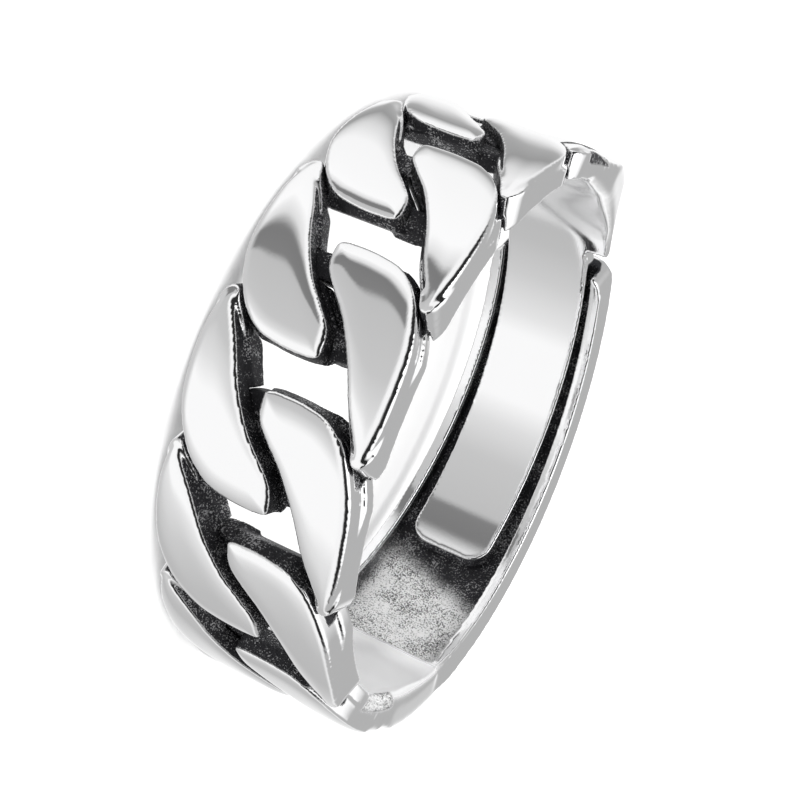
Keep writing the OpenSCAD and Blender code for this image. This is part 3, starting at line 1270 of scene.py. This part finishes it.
def settle(mesh, plan, step, side_of_shank, turn, lobes, triangles):
    """Fine mesh, pillowed lobes, soft edges and the marks of the finish. The side is 1 for the
    channel's shank, -1 for the tongue's and 0 for a link."""
    mesh = softened(remeshed(mesh, step), ROUNDS_BEFORE)
    mesh = pillow(mesh, plan, side_of_shank or 1, turn, lobes)
    if side_of_shank:
        mesh = eased_inside(mesh, plan)
    mesh = softened(mesh, round(ROUNDS_AFTER / step**2))
    if side_of_shank:
        degrees = angles(coordinates(mesh))
        rise = eased(degrees, plan.block_angle - 1, plan.block_angle + 3)
        fall = fading(degrees, plan.shoulder_end + 1, plan.shoulder_end + 8)
        mesh = softened(mesh, ROUNDS_SHOULDER, rise * fall)
    mark_finish(mesh, plan, side_of_shank)
    return thinned(mesh, min(1.0, triangles / (2 * len(mesh.polygons))))


def adopt(piece):
    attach(piece, "root")


class MESH_OT_curb_links_add(bpy.types.Operator):
    """Add the five curb links of the chain front"""

    bl_idname = "mesh.curb_links_add"
    bl_label = "Curb links"

    def execute(self, context):
        plan = RingPlan(context.scene.chain_ring_sizes)
        material = material_of("link_silver")
        for m in range(1, LINKS + 1):
            lobes = [(m, True), (m - 1, False)]
            form = link_form(plan, m)
            mesh = settle(form, plan, plan.link_grain, 0, plan.chain_turn, lobes, LINK_TRIANGLES)
            piece = place_piece(mesh, f"curb_link_{m}", plan, False, material)
            adopt(piece)
            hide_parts(f"link_{m}")
        return {"FINISHED"}


class MESH_OT_tongue_shank_add(bpy.types.Operator):
    """Add the shank end with the shoulder and the tongue"""

    bl_idname = "mesh.tongue_shank_add"
    bl_label = "Tongue shank"

    def execute(self, context):
        plan = RingPlan(context.scene.chain_ring_sizes)
        lobes = [(LINKS, False), (LINKS + 1, True)]
        form = tongue_form(plan)
        mesh = settle(form, plan, plan.shank_grain, -1, -plan.chain_turn, lobes, SHANK_TRIANGLES)
        silver = material_of("shank_silver")
        piece = place_piece(mesh, "polished_tongue_shank", plan, True, silver)
        adopt(piece)
        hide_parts("tongue_shank")
        return {"FINISHED"}


class MESH_OT_channel_shank_add(bpy.types.Operator):
    """Add the shank end with the shoulder and the channel"""

    bl_idname = "mesh.channel_shank_add"
    bl_label = "Channel shank"

    def execute(self, context):
        plan = RingPlan(context.scene.chain_ring_sizes)
        lobes = [(LINKS, False), (LINKS + 1, True)]
        form = channel_form(plan)
        mesh = settle(form, plan, plan.shank_grain, 1, plan.chain_turn, lobes, SHANK_TRIANGLES)
        silver = material_of("shank_silver")
        piece = place_piece(mesh, "polished_channel_shank", plan, False, silver)
        adopt(piece)
        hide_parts("channel_shank")
        return {"FINISHED"}


def floor_material(stage):
    material = bpy.data.materials.new("Pale floor")
    material.use_nodes = True
    shader = material.node_tree.nodes["Principled BSDF"]
    shader.inputs["Base Color"].default_value = opaque(stage.floor_colour)
    shader.inputs["Roughness"].default_value = 1.0
    shader.inputs["Specular IOR Level"].default_value = 0.0
    return material


# Light of the studio's lower walls, as the polished lobes mirror it: degrees from the middle of
# the chain, and brightness
STUDIO_WALLS = [
    (-180, 1.0),
    (-148, 1.0),
    (-140, 0.85),
    (-130, 0.42),
    (-118, 0.33),
    (-107, 0.7),
    (-95, 0.95),
    (-62, 1.0),
    (-52, 0.75),
    (-46, 0.2),
    (-35, 0.22),
    (-33, 0.53),
    (-8, 0.58),
    (8, 0.75),
    (20, 0.98),
    (50, 0.98),
    (60, 0.8),
    (80, 0.62),
    (100, 0.52),
    (116, 0.5),
    (130, 0.63),
    (146, 0.78),
    (160, 1.0),
]

# Light of the studio's other sides, and of the white sweep that the camera sees
UPPER_WALL = 0.95
BACK_WALL = 0.45
FRONT_FLAG = 0.02
CEILING = 1.1
TABLE = 0.6
SWEEP = 1.7


def studio_world():
    """Walls of different tones round the ring, seen only in reflections. The camera sees white.
    x, y and z are the direction in which a ray leaves: z is -1 straight down and 1 straight up."""
    world = bpy.data.worlds.new("Studio")
    world.use_nodes = True
    tree = world.node_tree
    tree.nodes.clear()
    link = tree.links.new
    way = node(tree, "ShaderNodeSeparateXYZ")
    link(node(tree, "ShaderNodeTexCoord").outputs["Generated"], way.inputs[0])
    x, y, z = way.outputs
    turn = math_node(tree, "ARCTAN2", y, x)
    walls = node(tree, "ShaderNodeValToRGB")
    stops = walls.color_ramp.elements
    for place, (azimuth, light) in enumerate(STUDIO_WALLS):
        stop = stops[place] if place < 1 else stops.new((azimuth + 180) / 360)
        stop.position = (azimuth + 180) / 360
        stop.color = grey(light)
    link(plus(tree, math_node(tree, "DIVIDE", turn, FULL_TURN), 0.5), walls.inputs[0])

    front = stretch(tree, x, -0.1, 0.25)
    upper = stretch(tree, z, -0.1, 0.05)
    light = mix_colours(tree, upper, walls.outputs[0], grey(UPPER_WALL))
    back = mix_colours(tree, stretch(tree, z, -0.05, 0.25), light, grey(BACK_WALL))
    flag = mix_colours(tree, stretch(tree, z, 0.15, 0.3), light, grey(FRONT_FLAG))
    light = mix_colours(tree, front, back, flag)
    light = mix_colours(tree, stretch(tree, z, 0.65, 0.9), light, grey(CEILING))
    light = mix_colours(tree, stretch(tree, z, -0.75, -0.9), light, grey(TABLE))
    mirrored = node(tree, "ShaderNodeLightPath").outputs["Is Glossy Ray"]
    seen = mix_colours(tree, mirrored, grey(SWEEP), light)
    background = node(tree, "ShaderNodeBackground")
    link(seen, background.inputs["Color"])
    output = node(tree, "ShaderNodeOutputWorld")
    link(background.outputs[0], output.inputs[0])
    return world


def area_light(name, size, power, place, target):
    data = bpy.data.lights.new(name, "AREA")
    data.size = size
    data.energy = power
    lamp = shown(name, data)
    lamp.location = place
    lamp.rotation_euler = (Vector(target) - Vector(place)).to_track_quat("-Z", "Y").to_euler()


class SCENE_OT_ring_stage_add(bpy.types.Operator):
    """Add the floor, the light and the camera"""

    bl_idname = "scene.ring_stage_add"
    bl_label = "Stage"

    def execute(self, context):
        stage = context.scene.chain_ring_stage
        half_w = context.scene.chain_ring_sizes.chain_w / 2
        bm = bmesh.new()
        bmesh.ops.create_grid(bm, x_segments=8, y_segments=8, size=stage.floor_size / 2)
        bmesh.ops.translate(bm, vec=(0, 0, -FLOOR_GAP), verts=bm.verts)
        mesh = bpy.data.meshes.new("pale_floor")
        bm.to_mesh(mesh)
        bm.free()
        mesh.materials.append(floor_material(stage))
        floor = shown("pale_floor", mesh)
        floor.visible_glossy = False

        context.scene.world = studio_world()
        area_light("Key", size=0.25, power=0.15, place=(0.1, -0.12, 0.34), target=(0, 0, 0))
        context.scene.view_settings.view_transform = "Standard"

        e, a, t = stage.elevation, stage.azimuth, stage.roll
        back = Vector((math.cos(e) * math.cos(a), math.cos(e) * math.sin(a), math.sin(e)))
        level = Vector((-math.sin(a), math.cos(a), 0))
        over = back.cross(level)
        right = math.cos(t) * level + math.sin(t) * over
        up = math.cos(t) * over - math.sin(t) * level
        eye = back * stage.distance - right * stage.offset_right - up * stage.offset_up
        data = bpy.data.cameras.new("Camera")
        data.lens = stage.lens
        data.sensor_width = 36.0
        data.clip_start = 0.002
        data.clip_end = 10.0
        camera = shown("Camera", data)
        place = Matrix((right, up, back)).transposed().to_4x4()
        place.translation = eye + Vector((0, 0, half_w))
        camera.matrix_world = place
        context.scene.camera = camera
        return {"FINISHED"}


class VIEW3D_PT_chain_ring(bpy.types.Panel):
    """The steps that build the ring"""

    bl_label = "Curb chain ring"
    bl_idname = "VIEW3D_PT_chain_ring"
    bl_space_type = "VIEW_3D"
    bl_region_type = "UI"
    bl_category = "Ring"

    def draw(self, context):
        layout = self.layout
        for step in STEPS:
            layout.operator(step.bl_idname)
        for group in ("chain_ring_sizes", "chain_ring_finish", "chain_ring_stage"):
            box = layout.box()
            settings = getattr(context.scene, group)
            for key in settings.bl_rna.properties.keys():
                if key not in ("rna_type", "name"):
                    box.prop(settings, key)


STEPS = (
    MESH_OT_curb_links_add,
    MESH_OT_tongue_shank_add,
    MESH_OT_channel_shank_add,
    SCENE_OT_ring_stage_add,
)
GROUPS = (ChainRingSizes, ChainRingFinish, ChainRingStage)


def register():
    for cls in GROUPS + STEPS + (VIEW3D_PT_chain_ring,):
        bpy.utils.register_class(cls)
    bpy.types.Scene.chain_ring_sizes = PointerProperty(type=ChainRingSizes)
    bpy.types.Scene.chain_ring_finish = PointerProperty(type=ChainRingFinish)
    bpy.types.Scene.chain_ring_stage = PointerProperty(type=ChainRingStage)


def unregister():
    del bpy.types.Scene.chain_ring_stage
    del bpy.types.Scene.chain_ring_finish
    del bpy.types.Scene.chain_ring_sizes
    for cls in reversed(GROUPS + STEPS + (VIEW3D_PT_chain_ring,)):
        bpy.utils.unregister_class(cls)


def main():
    register()
    bpy.ops.mesh.curb_links_add()
    bpy.ops.mesh.tongue_shank_add()
    bpy.ops.mesh.channel_shank_add()
    bpy.ops.scene.ring_stage_add()


if __name__ == "__main__":
    main()
